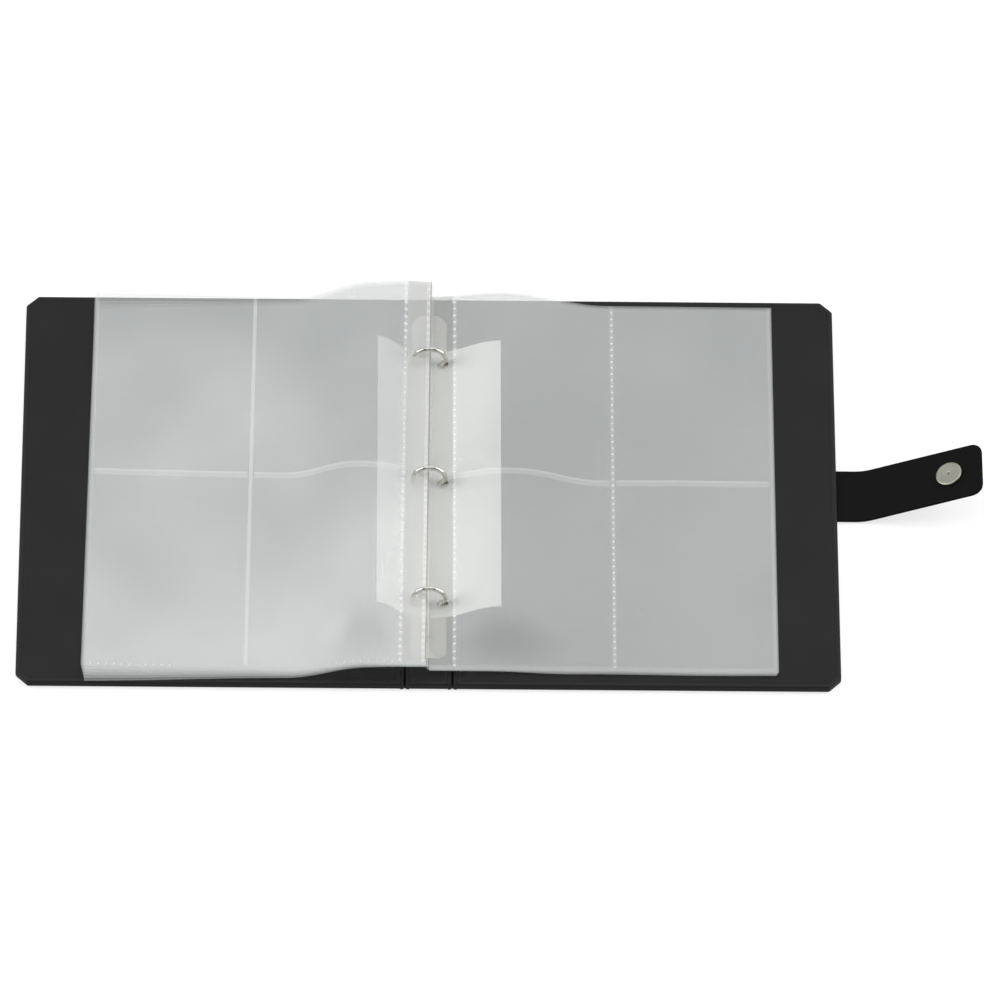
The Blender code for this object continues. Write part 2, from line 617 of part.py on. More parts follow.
def build():
    for old in list(bpy.data.objects):
        bpy.data.objects.remove(old, do_unlink=True)
    wrap = material("black_leatherette", (0.02, 0.02, 0.02), 0.5, 0.0)
    foam = material("foam_pad", (0.6, 0.58, 0.52), 0.95, 0.0)
    grey = material("grey_board", (0.32, 0.3, 0.27), 0.9, 0.0)
    lining = material("black_lining", (0.03, 0.03, 0.03), 0.55, 0.0)
    nickel = material("nickel_plate", (0.72, 0.72, 0.7), 0.2, 1.0)
    film = material("clear_film", (0.72, 0.75, 0.75), 0.25, 0.0)
    white = material("white_sheet", (0.8, 0.8, 0.77), 0.45, 0.0)
    snap = material("snap_metal", (0.55, 0.55, 0.5), 0.35, 1.0)
    finishes = {"wrap": wrap, "pad": foam, "board": grey, "lining": lining}

    gap = HINGE_GAP / 2
    inner = HINGE_X + gap
    front_origin = (-HINGE_X, 0.0, HINGE_Z)
    back_origin = (HINGE_X, 0.0, HINGE_Z)
    ring_axis = (0.0, 0.0, RING_Z)
    keeper = keeper_x()
    slot_y = STRAP_WIDTH / 2 + FIT
    tongue_low = WRAP_THICK + FIT

    panel(
        "front_cover",
        -FORE_EDGE,
        -inner,
        True,
        False,
        front_origin,
        finishes,
        wrap_cuts=[lambda: drum(keeper, 0.0, SNAP_DIAMETER / 2 + FIT, -1.0, WRAP_THICK + 1)],
    )
    panel(
        "back_cover",
        inner,
        FORE_EDGE,
        False,
        True,
        back_origin,
        finishes,
        wrap_cuts=[
            lambda: block(
                FORE_EDGE - EDGE_WALL - 1,
                FORE_EDGE + 1,
                -slot_y,
                slot_y,
                WRAP_THICK,
                tongue_low + TONGUE_THICK + FIT,
            )
        ],
        pad_cuts=[
            lambda: block(FORE_EDGE - TONGUE_LENGTH - FIT, FORE_EDGE, -slot_y, slot_y, 0.0, PANEL_THICK)
        ],
    )
    spine_edge = HINGE_X - gap
    rivet_holes = [(0.0, sy * RIVET_Y, RIVET_SHANK / 2 + FIT) for sy in (-1, 1)]
    panel(
        "spine",
        -spine_edge,
        spine_edge,
        False,
        False,
        (0.0, 0.0, 0.0),
        finishes,
        holes=rivet_holes,
        wrap_cuts=[
            lambda: drum(0.0, -RIVET_Y, RIVET_FOOT / 2 + FIT, -1.0, WRAP_THICK + 1),
            lambda: drum(0.0, RIVET_Y, RIVET_FOOT / 2 + FIT, -1.0, WRAP_THICK + 1),
        ],
    )
    roll = gap - 2 * FIT / 1.5
    for name, x in (("front_hinge_roll", -HINGE_X), ("back_hinge_roll", HINGE_X)):
        bead = [(a, b) for a, b in circle(x, HINGE_Z, roll, 16)]
        length = COVER_HEIGHT / 2 - EDGE_ROUND
        add_object(name, mesh_of(prism(bead, -length, length, upright=False), "roll"), wrap, (x, 0.0, HINGE_Z))

    add_object("ring_plate", ring_plate(), nickel)
    for name, y in (("rivet_near", -RIVET_Y), ("rivet_far", RIVET_Y)):
        add_object(name, rivet(y), nickel, (0.0, y, 0.0))
    blade_end = PLATE_LENGTH / 2 - BLADE_END_ROOM
    for word, side in (("left", -1), ("right", 1)):
        pivot = (side * BLADE_PIVOT_X, 0.0, BLADE_PIVOT_Z)
        x0, x1 = sorted((side * BLADE_OUTER, side * FIT))
        blade = block(x0, x1, -blade_end, blade_end, BLADE_LOW, BLADE_TOP)
        add_object(word + "_blade", blade, nickel, pivot)
        for place, y in zip(("near", "middle", "far"), ring_places()):
            add_object(word + "_ring_" + place, ring_half(side, y), nickel, pivot)

    add_object("front_sheet_lifter", lifter(-1), white, ring_axis)
    add_object("rear_sheet_lifter", lifter(1), white, ring_axis)
    for word, side, count in (("left", -1, LEFT_LEAVES), ("right", 1, RIGHT_LEAVES)):
        first = add_object(word + "_leaf_1", leaf(side), film, ring_axis)
        first.location.y = -(count - 1) * LEAF_FAN_Y * MM
        for i in range(1, count):
            copy = bpy.data.objects.new(word + "_leaf_" + str(i + 1), first.data)
            copy.location = first.location + Vector((0.0, i * LEAF_FAN_Y * MM, i * LEAF_PITCH * MM))
            bpy.context.scene.collection.objects.link(copy)

    tongue = block(
        FORE_EDGE - TONGUE_LENGTH,
        FORE_EDGE + FIT,
        -STRAP_WIDTH / 2,
        STRAP_WIDTH / 2,
        tongue_low,
        tongue_low + TONGUE_THICK,
    )
    add_object("strap_anchor", tongue, wrap, back_origin)
    fold_x, fold_z, _ = strap_point(strap_fold())
    add_object("strap_bridge", strap_bridge(), wrap, (STRAP_AXIS_X, 0.0, STRAP_Z))
    add_object("strap_tip", place_on_tip(strap_tip()), wrap, (fold_x, 0.0, fold_z))
    add_object("snap_disc", place_on_tip(snap_disc()), snap, (fold_x, 0.0, fold_z))
    add_object("cover_keeper", drum(keeper, 0.0, SNAP_DIAMETER / 2, 0.1, WRAP_THICK - 0.05), snap, front_origin)


build()
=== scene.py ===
"""Looks of the open ring photo album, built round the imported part.

Sizes are in millimetres and repeat the part's own; meshes are made in metres.
"""

import math
from types import SimpleNamespace

import bmesh
import bpy
import numpy as np
from mathutils import Matrix, Vector
from mathutils.geometry import delaunay_2d_cdt


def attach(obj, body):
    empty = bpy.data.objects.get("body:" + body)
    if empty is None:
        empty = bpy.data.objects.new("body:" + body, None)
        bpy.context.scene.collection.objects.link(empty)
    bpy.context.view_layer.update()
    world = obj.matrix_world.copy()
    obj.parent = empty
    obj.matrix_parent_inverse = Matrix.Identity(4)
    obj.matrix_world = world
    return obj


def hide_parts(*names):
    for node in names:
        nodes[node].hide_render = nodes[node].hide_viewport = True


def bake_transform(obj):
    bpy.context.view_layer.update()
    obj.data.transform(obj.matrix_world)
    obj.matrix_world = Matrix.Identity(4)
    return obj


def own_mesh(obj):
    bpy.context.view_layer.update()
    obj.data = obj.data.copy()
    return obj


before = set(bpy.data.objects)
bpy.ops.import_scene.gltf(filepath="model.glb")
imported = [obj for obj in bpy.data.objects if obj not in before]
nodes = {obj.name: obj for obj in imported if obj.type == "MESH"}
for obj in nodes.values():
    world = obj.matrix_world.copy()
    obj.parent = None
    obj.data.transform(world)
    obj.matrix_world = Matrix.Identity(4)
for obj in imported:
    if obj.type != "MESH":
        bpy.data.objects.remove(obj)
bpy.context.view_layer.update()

MM = 0.001

# Case
COVER_HEIGHT = 322.0
FORE_EDGE = 270.6
PANEL_THICK = 6.0
CORNER_CUT = 8.0
CORNER_ROUND = 2.4
LEAST_ROUND = 0.3
SQUARE_ROUND = 0.4
UNDER_ROUND = 1.6
UPPER_ROUND = 1.2
EDGE_STEPS = 6
LIP = 3.6
LIP_SOFT = 0.04
LINING_THICK = 0.58
LINING_CLEAR = 0.02
WRAP_THICK = 0.8
SKIN_BORDER = 1.5
RECESS_FLARE = 0.25
RECESS_SIDES = 40
HOLE_SIDES = 24

# Fold lines between the spine and the covers
HINGE_X = 15.6
HINGE_Z = 3.0
HINGE_GAP = 3.6
HINGE_SET_BACK = 1.3
HINGE_INSET_LESS = 1.2
HINGE_MARKS = (2.2, 1.5, 0.9, 0.65, 0.42, 0.24, 0.1)
HINGE_SUNK = 0.03
HINGE_STEPS = 48
HINGE_END_SOFT = 0.3
HINGE_END_SHRINK = 0.08
HINGE_SHORT = 0.1
HINGE_CLEAR = 0.02
CREASE_HALF = 0.9
CREASE_DEPTH = 3.0
DIP_HALF = 1.7
DIP_DEPTH = 1.5
CREASE_POWER = 1.4

# Ring metal
RING_PITCH = 100.0
RING_YS = (-RING_PITCH, 0.0, RING_PITCH)
RING_Z = 18.6
RING_RADIUS = 10.75
RING_DROP = 0.67 * RING_RADIUS
WIRE_RADIUS = 1.5
WIRE_SIDES = 24
LEG_STEPS = 6
ARC_STEPS = 48
BLADE_TOP = 7.9
FOOT_LIFT = 0.3
JOINT_GAP = 0.15
RIVET_Y = 128.0
RIVET_RECESS = 3.9
RIVET_HOLE = 1.9
# Ends of the wire at the joint, as (way back into the wire, share of the wire's radius).
TONGUE = ((0.0, 0.93), (0.0, 0.55), (-0.5, 0.5), (-0.85, 0.36))
CUP = ((0.0, 0.93), (0.0, 0.84), (0.9, 0.62))

# Leaves and lifters. Leaf 0 is the lowest. Distances run outwards from the spine line, depths along Y.
FLAT_LOW = 6.6
LEAF_PITCH = 0.8
END_FALL = 44.0
FAR_FAN = 0.4
OUTER_FAN = 0.5
INNER_EDGE = 0.2
PROUD_EDGE = -1.4
EDGE_BAND = 3.4
THIN_EDGE = 0.8
INNER_BAND = 3.2
BAND_LINE = 0.4
WELD_HALF = 1.2
WELD_PITCH = 5.2
WELD_NEAR = 3.0
WELD_FAR = 2.0
FAINT_SHARE = 0.5
SEAM_NEAR = 0.6
SEAM_FAR = 1.4
POCKET_INSET = 2.2
POCKET_OUTER = 4.0
POCKET_WELD_HALF = 0.7
POCKET_LIP = 3.6
POCKET_DRAW = 24.0
EDGE_DOT = 0.5
EDGE_DOT_IN = 2.2
EDGE_DOT_GAP = (60.0, 165.0)
DOT_SIDES = 8
DOT_LIFT = 0.06
DOT_RISE = 0.18
DOT_TOP = 0.62
LIFTER_HALF = 111.0
LIFTER_THICK = 0.7
LIFTER_INNER = 0.8
LIFTER_BELOW = 0.5
WAVE = 0.45
WAVE_ACROSS = 29.0
WAVE_ALONG = 41.0
RIPPLE = 0.25
RIPPLE_LENGTH = 19.0
# Where a leaf comes loose from the arch and where its far outer corner lifts, as (start, length).
LOOSE = (40.0, 60.0)
CORNER_ACROSS = (150.0, 80.0)
CORNER_ALONG = (100.0, 55.0)
# Mesh spacing. A grid is (distance up to which it holds, step); room is kept free of points round a slot.
LOOP_STEP = 6.0
POCKET_STEP = 5.0
ARCH_GRID = (40.0, 4.0)
SLOPE_GRID = (120.0, 5.0)
FLAT_STEP = 9.0
FLAT_MARGIN = 5.0
ALONG_STEP = 7.5
ALONG_HALF = 150.0
SLOT_ROOM = 2.5
SLOT_STEPS = 8
LIFTER_LOOP_STEP = 5.0
LIFTER_STEP = 3.0
LIFTER_ALONG_STEP = 8.0
LIFTER_SLOT_ROOM = 2.0
# A slot is (distance, width, length, shift along Y).
LIFTER_SLOT = (8.9, 7.8, 7.8, 0.0)
# Order of a leaf's finishes; a lower leaf has the first two only.
ON_FILM, ON_EDGE, ON_WELD, ON_MOUTH, ON_BINDING, ON_PAINTED_SHADOW, ON_DOT, ON_BAND = range(8)

# What differs between the two piles.
# ends: near and far edge of the top leaf; near_fan: how much each lower leaf reaches past it at the near end.
# seams: distances of the inner seam, the seam between pockets and the outer edge.
# pocket_seam: depth of the cross seam, how far it is drawn in, and the distance where it is drawn in most.
# skew and turns: slant along the spine, and how far the lowest and the top leaf are turned.
# proud: leaves that reach past the spine line; slots: of a lower leaf and of the top leaf.
# sections: for near end, middle and far end the marks (distance, height of leaf 0, rise from leaf to leaf),
# then the distance from which a leaf lies flat, and how much higher it lies there.
# weld_dots: sizes of the two rows; faint_from: depth from which dots over the white sheet are small.
# press: level to which a pile flattens and the share kept; turn_z: the same level for a turned top leaf.
LEFT = SimpleNamespace(
    side=-1,
    hinge="front_cover_hinge",
    count=6,
    ends=(-155.5, 156.0),
    near_fan=0.0,
    seams=(17.2, 118.4, 226.2),
    pocket_seam=(7.0, 5.5, 34.0),
    skew=0.0105,
    turns=(-0.027, 0.018),
    proud=(1, 2),
    slots=((10.4, 8.0, 8.0, 0.4), (9.6, 4.6, 5.0, 0.4)),
    sections={
        -1: (((-1.0, 17.4, 0.6), (38.0, 17.6, 0.6)), 92.0, 0.0),
        0: (((-1.0, 12.9, 2.0), (6.0, 13.3, 2.0), (37.0, 30.6, 0.35)), 96.0, 0.0),
        1: (((-4.0, 28.6, 0.6), (20.0, 30.2, 0.6), (40.0, 28.6, 0.6)), 94.0, 2.0),
    },
    corner_lift=3.0,
    weld_dots=(1.3, 1.2),
    faint_from=0.0,
    press=(10.5, 0.345),
    turn_z=13.0,
    lifter_reach=34.5,
)
RIGHT = SimpleNamespace(
    side=1,
    hinge="back_cover_hinge",
    count=4,
    ends=(-152.0, 153.5),
    near_fan=0.3,
    seams=(16.8, 122.0, 229.6),
    pocket_seam=(5.2, 3.5, 47.0),
    skew=0.0,
    turns=(0.0, 0.0),
    proud=(3,),
    slots=((9.4, 7.2, 7.2, 0.4), (9.6, 4.8, 6.0, 0.4)),
    sections={
        -1: (((0.0, 9.9, 0.2), (40.0, 9.9, 0.25)), 96.0, 0.0),
        0: (((0.0, 12.4, 0.2), (5.0, 12.8, 0.3), (47.0, 26.0, 0.35)), 115.0, 0.0),
        1: (((0.0, 17.6, 0.5), (47.0, 22.6, 0.5)), 118.0, 0.0),
    },
    corner_lift=0.0,
    weld_dots=(1.1, 0.9),
    faint_from=-LIFTER_HALF,
    press=(9.4, 0.49),
    turn_z=11.0,
    lifter_reach=47.5,
)

# Strap. Lengths along it are measured from the fore edge.
STRAP_WIDTH = 42.0
STRAP_THICK = 2.0
STRAP_LENGTH = 102.0
STRAP_FLAT = 12.0
STRAP_BEND = 30.0
STRAP_RISE = math.radians(23.0)
STRAP_TIP_ROUND = 8.0
STRAP_EDGE_STEPS = 8
STRAP_TIP_STEPS = 14
STRAP_Z = 1.6
STRAP_ROOT = -2.5
ROOT_FINE = (-1.0, 6.0)
STRAP_SPLIT = 31.0
FOLD_FINE = (36.0, 46.0)
SNAP_AT = 79.0
SNAP_RADIUS = 9.0
SNAP_TOP = 1.9
SNAP_SIDES = 64
KEEPER_X = -234.31
KEEPER_SIDES = 56
KEEPER_ROOM = 0.3

# Stage
FLOOR_HALF = 9000.0
FLOOR_Z = -0.3
FLOOR_GLOW = 0.71


def start_material(name):
    """New node material: (material, node tree, shader)."""
    made = bpy.data.materials.new(name)
    made.use_nodes = True
    return made, made.node_tree, made.node_tree.nodes["Principled BSDF"]


def add_node(tree, kind, **settings):
    """Add a node whose settings name either its inputs or its own properties."""
    made = tree.nodes.new(kind)
    for key, value in settings.items():
        label = key.replace("_", " ")
        if label in made.inputs:
            made.inputs[label].default_value = value
        else:
            setattr(made, key, value)
    return made


def object_place(tree, stretch=None):
    """Object coordinates in metres, stretched along the axes where a finish has a direction."""
    place = add_node(tree, "ShaderNodeTexCoord").outputs["Object"]
    if stretch is None:
        return place
    turned = add_node(tree, "ShaderNodeMapping", Scale=stretch)
    tree.links.new(place, turned.inputs["Vector"])
    return turned.outputs["Vector"]


def noise(tree, place, scale, detail=3.0, rough=0.5):
    """Soft noise value at a place."""
    made = add_node(tree, "ShaderNodeTexNoise", Scale=scale, Detail=detail, Roughness=rough)
    tree.links.new(place, made.inputs["Vector"])
    return made.outputs["Fac"]


def cells(tree, place, scale):
    """Soft distance to the nearest cell centre."""
    made = add_node(tree, "ShaderNodeTexVoronoi", feature="SMOOTH_F1", Scale=scale, Randomness=0.9)
    tree.links.new(place, made.inputs["Vector"])
    return made.outputs["Distance"]


def ramp(tree, factor, low, high, start=0.32, stop=0.68):
    """Colour that goes from low to high as the factor goes from start to stop."""
    made = tree.nodes.new("ShaderNodeValToRGB")
    ends = made.color_ramp.elements
    ends[0].position = start
    ends[0].color = (*low, 1.0)
    ends[1].position = stop
    ends[1].color = (*high, 1.0)
    tree.links.new(factor, made.inputs["Fac"])
    return made.outputs["Color"]


def spread(tree, factor, low, high):
    """Number that goes from low to high over the middle range of a factor."""
    made = add_node(tree, "ShaderNodeMapRange", From_Min=0.3, From_Max=0.7, To_Min=low, To_Max=high)
    tree.links.new(factor, made.inputs["Value"])
    return made.outputs["Result"]


def bump(tree, height, distance, strength, under=None):
    """Normal that follows a height, on top of another bump where one is given."""
    made = add_node(tree, "ShaderNodeBump", Strength=strength, Distance=distance)
    tree.links.new(height, made.inputs["Height"])
    if under is not None:
        tree.links.new(under, made.inputs["Normal"])
    return made.outputs["Normal"]


def wear_mix(tree, colour, worn, share):
    """Shift a colour towards a worn one where a piece's wear value says so."""
    wear = add_node(tree, "ShaderNodeAttribute", attribute_name="wear").outputs["Fac"]
    scaled = add_node(tree, "ShaderNodeMath", operation="MULTIPLY")
    scaled.inputs[1].default_value = share
    tree.links.new(wear, scaled.inputs[0])
    made = tree.nodes.new("ShaderNodeMix")
    made.data_type = "RGBA"
    tree.links.new(scaled.outputs[0], made.inputs[0])
    tree.links.new(colour, made.inputs[6])
    made.inputs[7].default_value = (*worn, 1.0)
    return made.outputs[2]


def grey(value):
    """Neutral colour."""
    return (value, value, value)


def leatherette(name, dark, light, rough, grain, depth, gloss=0.14):
    """Black coated fabric: pebbled grain, long soft unevenness and slightly rubbed edges."""
    made, tree, shader = start_material(name)
    place = object_place(tree)
    pebbles = cells(tree, place, 1.0 / (grain * MM))
    creases = noise(tree, place, 0.45 / (grain * MM), 4.0, 0.6)
    patches = noise(tree, place, 16.0, 4.0, 0.55)
    tone = ramp(tree, patches, dark, light)
    worn = tuple(1.6 * value for value in light)
    tree.links.new(wear_mix(tree, tone, worn, 0.4), shader.inputs["Base Color"])
    tree.links.new(spread(tree, patches, rough - 0.05, rough + 0.07), shader.inputs["Roughness"])
    soft = bump(tree, patches, 0.4 * MM, 0.25)
    lined = bump(tree, creases, depth * MM, 0.5, soft)
    tree.links.new(bump(tree, pebbles, depth * MM, 0.6, lined), shader.inputs["Normal"])
    shader.inputs["Specular IOR Level"].default_value = gloss
    return made


def film(name, alpha, low, high, rough, crinkle, painted_lean=0.0):
    """Milky pocket film: part of what lies behind shows through, with faint haze and ripples; the last
    argument adds painted light, paler towards the near end and darker towards the far end.
    """
    made, tree, shader = start_material(name)
    place = object_place(tree)
    haze = noise(tree, place, 7.0, 2.0, 0.45)
    ripple = noise(tree, object_place(tree, (1.0, 0.45, 1.0)), 26.0, 2.0, 0.45)
    depth = tree.nodes.new("ShaderNodeSeparateXYZ")
    tree.links.new(place, depth.inputs["Vector"])
    # Painted light: the film's tone is raised towards the near end and lowered towards the far end.
    painted_light_tilt = add_node(tree, "ShaderNodeMapRange", From_Min=-0.14, From_Max=0.14, To_Min=painted_lean, To_Max=-painted_lean)
    tree.links.new(depth.outputs["Y"], painted_light_tilt.inputs["Value"])
    haze_and_painted_light = add_node(tree, "ShaderNodeMath", operation="ADD")
    tree.links.new(haze, haze_and_painted_light.inputs[0])
    tree.links.new(painted_light_tilt.outputs["Result"], haze_and_painted_light.inputs[1])
    tree.links.new(ramp(tree, haze_and_painted_light.outputs[0], low, high, 0.1, 0.9), shader.inputs["Base Color"])
    tree.links.new(spread(tree, haze, rough - 0.05, rough + 0.08), shader.inputs["Roughness"])
    tree.links.new(bump(tree, ripple, 1.5 * MM, crinkle), shader.inputs["Normal"])
    shader.inputs["Alpha"].default_value = alpha
    shader.inputs["Specular IOR Level"].default_value = 0.45
    return made


def metal(name, low, high, rough, stretch, scratch):
    """Plated metal with fine lines along one direction and a little tarnish."""
    made, tree, shader = start_material(name)
    lines = noise(tree, object_place(tree, stretch), 900.0, 2.0, 0.6)
    stain = noise(tree, object_place(tree), 120.0, 4.0, 0.55)
    tree.links.new(ramp(tree, stain, low, high), shader.inputs["Base Color"])
    tree.links.new(spread(tree, lines, rough - 0.04, rough + 0.06), shader.inputs["Roughness"])
    tree.links.new(bump(tree, lines, 0.02 * MM, scratch), shader.inputs["Normal"])
    shader.inputs["Metallic"].default_value = 1.0
    return made


def plain_stock(name, low, high, rough, scale, depth, pores=False):
    """Board, foam, lifter sheet or floor: fine fibres or pores with a slight change of tone."""
    made, tree, shader = start_material(name)
    place = object_place(tree)
    fine = cells(tree, place, scale) if pores else noise(tree, place, scale, 4.0, 0.6)
    cloud = noise(tree, place, 12.0, 3.0)
    tree.links.new(ramp(tree, cloud, low, high), shader.inputs["Base Color"])
    tree.links.new(spread(tree, cloud, rough - 0.04, rough + 0.05), shader.inputs["Roughness"])
    tree.links.new(bump(tree, fine, depth * MM, 0.5), shader.inputs["Normal"])
    return made


# leatherette: darkest and palest tone, roughness, grain and its depth in millimetres, gloss.
# film: opacity, darkest and palest tone, roughness, crinkle, how much paler painted light makes the near end.
# metal: darkest and palest tone, roughness, direction of the fine lines, their strength.
# plain_stock: darkest and palest tone, roughness, fineness, depth in millimetres.
LEATHER = leatherette("black_leatherette", grey(0.011), grey(0.015), 0.55, 0.85, 0.04)
LINING = leatherette("black_lining", grey(0.011), grey(0.015), 0.56, 0.8, 0.035)
# Painted shade: the strap's leatherette is a much darker copy of the cover's, standing in for shade on the
# tilted strap.
SHADED_STRAP_SKIN = leatherette("strap_leatherette_painted_shade", grey(0.0015), grey(0.003), 0.6, 0.8, 0.035, 0.09)
# The left film carries painted light that makes its near end paler.
LEFT_FILM = film("pocket_film_left", 0.19, (0.44, 0.455, 0.455), (0.76, 0.77, 0.765), 0.3, 0.08, 0.28)
RIGHT_FILM = film("pocket_film_right", 0.24, (0.46, 0.475, 0.475), (0.55, 0.565, 0.56), 0.3, 0.08)
WELD = film("pocket_weld", 0.27, (0.82, 0.83, 0.82), (0.88, 0.89, 0.88), 0.42, 0.1)
MOUTH = film("pocket_mouth", 0.25, (0.7, 0.71, 0.71), (0.76, 0.77, 0.77), 0.42, 0.1)
LEAF_EDGE = film("leaf_edge", 0.3, (0.52, 0.54, 0.54), (0.6, 0.61, 0.61), 0.42, 0.1)
LEFT_BINDING = film("binding_strip_left", 0.58, (0.45, 0.455, 0.44), (0.49, 0.495, 0.48), 0.36, 0.06)
WELD_DOT = film("weld_dot", 0.6, (0.68, 0.69, 0.68), (0.74, 0.75, 0.74), 0.42, 0.06)
BAND = film("inner_band", 0.6, (0.54, 0.545, 0.53), (0.6, 0.605, 0.59), 0.4, 0.06)
# Painted shadow: a dark strip on a top leaf's inner edge, standing in for the shadow the pile does not cast.
PAINTED_SHADOW_EDGE = film("painted_shadow_inner_edge", 0.6, (0.17, 0.165, 0.15), (0.21, 0.205, 0.19), 0.4, 0.06)
# The right binding strip has its own tone darkened by a painted shadow of the left pile on the right margin.
RIGHT_BINDING_WITH_SHADOW = film("binding_strip_right_painted_shadow", 0.4, (0.3, 0.305, 0.28), (0.34, 0.345, 0.32), 0.36, 0.06)
NICKEL = metal("nickel", (0.6, 0.59, 0.54), (0.68, 0.67, 0.62), 0.09, (1.0, 0.06, 1.0), 0.15)
PLATE = metal("satin_nickel", (0.72, 0.71, 0.66), (0.8, 0.79, 0.74), 0.42, (1.0, 0.06, 1.0), 0.1)
SNAP = metal("snap_metal", (0.31, 0.31, 0.265), (0.36, 0.36, 0.31), 0.42, (1.0, 1.0, 0.2), 0.3)
WHITE = plain_stock("white_sheet", (0.88, 0.88, 0.845), (0.92, 0.92, 0.885), 0.42, 500.0, 0.02)
FOAM = plain_stock("foam_pad", (0.5, 0.48, 0.43), (0.6, 0.58, 0.52), 0.9, 1400.0, 0.2, pores=True)
BOARD = plain_stock("grey_board", (0.27, 0.25, 0.22), (0.34, 0.32, 0.29), 0.85, 700.0, 0.08)
FLOOR = plain_stock("floor", grey(0.31), grey(0.32), 0.85, 300.0, 0.02)


def add_piece(name, points, faces, finishes, picks=None, sharp=38.0, wear=None, solid=True):
    """Make a mesh piece from points in millimetres; picks gives each face its material."""
    mesh = bpy.data.meshes.new(name)
    mesh.from_pydata([tuple(float(v) * MM for v in p) for p in points], [], [tuple(f) for f in faces])
    for finish in finishes:
        mesh.materials.append(finish)
    if picks is not None:
        mesh.polygons.foreach_set("material_index", picks)
    if wear is not None:
        mesh.attributes.new("wear", "FLOAT", "POINT").data.foreach_set("value", wear)
    bm = bmesh.new()
    bm.from_mesh(mesh)
    bmesh.ops.remove_doubles(bm, verts=bm.verts, dist=2e-7)
    if solid:
        bmesh.ops.recalc_face_normals(bm, faces=bm.faces)
    bm.to_mesh(mesh)
    bm.free()
    mesh.shade_smooth()
    mesh.set_sharp_from_angle(angle=math.radians(sharp))
    made = bpy.data.objects.new(name, mesh)
    bpy.context.scene.collection.objects.link(made)
    return made


def rounded(corners, radii, steps=4):
    """Outline with each corner turned on a small arc, always with the same number of points."""
    outline = []
    count = len(corners)
    for i in range(count):
        radius = radii[i]
        before, here, after = (np.array(corners[(i + k) % count], float) for k in (-1, 0, 1))
        u = (before - here) / np.linalg.norm(before - here)
        v = (after - here) / np.linalg.norm(after - here)
        half_turn = math.acos(max(-1.0, min(1.0, float(-u @ v)))) / 2
        middle = (u + v) / np.linalg.norm(u + v)
        centre = here + middle * radius / math.cos(half_turn)
        start = here + u * radius * math.tan(half_turn) - centre
        stop = here + v * radius * math.tan(half_turn) - centre
        first = math.atan2(start[1], start[0])
        turn = math.atan2(stop[1], stop[0]) - first
        turn = (turn + math.pi) % (2 * math.pi) - math.pi
        for k in range(steps + 1):
            angle = first + turn * k / steps
            outline.append((centre[0] + radius * math.cos(angle), centre[1] + radius * math.sin(angle)))
    return outline


def panel_outline(x0, x1, inset, cut_low, cut_high):
    """Outline of a panel set in from its edges; sides without cut corners lie at a hinge and stay square."""
    half = COVER_HEIGHT / 2 - inset
    hinge_inset = max(0.25 * inset, inset - HINGE_INSET_LESS)
    a = x0 + (inset if cut_low else hinge_inset)
    b = x1 - (inset if cut_high else hinge_inset)
    cut = CORNER_CUT - inset * (2 - math.sqrt(2))
    points = []
    points += [(a, -half + cut), (a + cut, -half)] if cut_low else [(a, -half)]
    points += [(b - cut, -half), (b, -half + cut)] if cut_high else [(b, -half)]
    points += [(b, half - cut), (b - cut, half)] if cut_high else [(b, half)]
    points += [(a + cut, half), (a, half - cut)] if cut_low else [(a, half)]
    soft = max(CORNER_ROUND - 0.8 * inset, LEAST_ROUND)
    low = [soft, soft] if cut_low else [SQUARE_ROUND]
    high = [soft, soft] if cut_high else [SQUARE_ROUND]
    return rounded(points, low + high + high + low)


def circle(x, y, radius, sides):
    """Points round a circle."""
    turn = 2 * math.pi / sides
    return [(x + radius * math.cos(i * turn), y + radius * math.sin(i * turn)) for i in range(sides)]


def inside(x, y, loop):
    """True where a point lies inside a closed loop."""
    hit = False
    for (ax, ay), (bx, by) in zip(loop, loop[1:] + loop[:1]):
        if (ay > y) != (by > y) and x < (bx - ax) * (y - ay) / (by - ay) + ax:
            hit = not hit
    return hit


def flat_mesh(outline, holes, extra=(), lines=()):
    """Points and triangles that fill an outline round its holes, with lines and extra points inside."""
    points = []
    edges = []
    for loop in [outline] + list(holes) + list(lines):
        first = len(points)
        points += loop
        edges += [(first + i, first + (i + 1) % len(loop)) for i in range(len(loop))]
    points += list(extra)
    result = delaunay_2d_cdt([Vector(p) for p in points], edges, [], 1, 1e-5)
    flat = [(v.x, v.y) for v in result[0]]
    kept = []
    for triangle in result[2]:
        x = sum(flat[i][0] for i in triangle) / 3
        y = sum(flat[i][1] for i in triangle) / 3
        if not any(inside(x, y, hole) for hole in holes):
            kept.append(tuple(triangle))
    return flat, kept


def loft(rows, points, faces):
    """Join rows of points, each a closed ring, with quads; returns the index of each row's first point."""
    starts = []
    for row in rows:
        starts.append(len(points))
        points += row
    count = len(rows[0])
    for a, b in zip(starts, starts[1:]):
        for i in range(count):
            j = (i + 1) % count
            faces.append((a + i, a + j, b + j, b + i))
    return starts


def tube(rows):
    """Points and faces of rows of points joined into a tube that is closed at both ends."""
    points = []
    faces = []
    starts = loft(rows, points, faces)
    for first in (starts[0], starts[-1]):
        faces.append(tuple(first + i for i in range(len(rows[0]))))
    return points, faces


